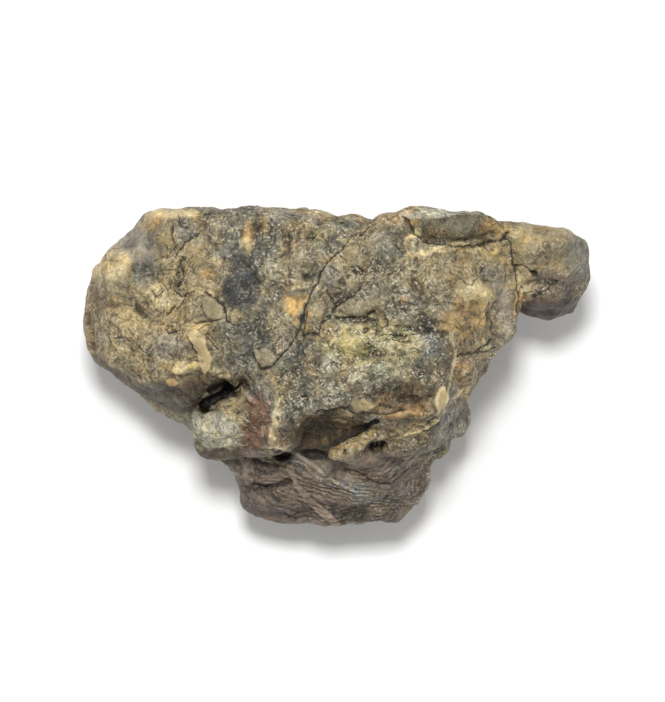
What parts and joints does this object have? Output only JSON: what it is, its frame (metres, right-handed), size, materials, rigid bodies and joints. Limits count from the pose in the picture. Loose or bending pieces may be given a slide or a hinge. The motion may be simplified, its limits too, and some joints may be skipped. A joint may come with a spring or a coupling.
{
  "type": "lunar meteorite",
  "caption": "Weathered angular stone with a broad cracked face, a ledge with a hollow under it, a rounded keel and a blunt side horn, lying on a flat break.",
  "frame": {"origin": "middle of the stone's box, on the plane it rests on", "axes": "+X along the stone to the blunt horn, +Y across the broad face away from the keel, +Z out of the broad face"},
  "size_m": [0.07, 0.0444, 0.0313],
  "materials": {
    "stone": "matt olive grey and tan weathering rind with pale clasts and dark cracks"
  },
  "bodies": {
    "root": {"stone": "stone"}
  },
  "joints": []
}
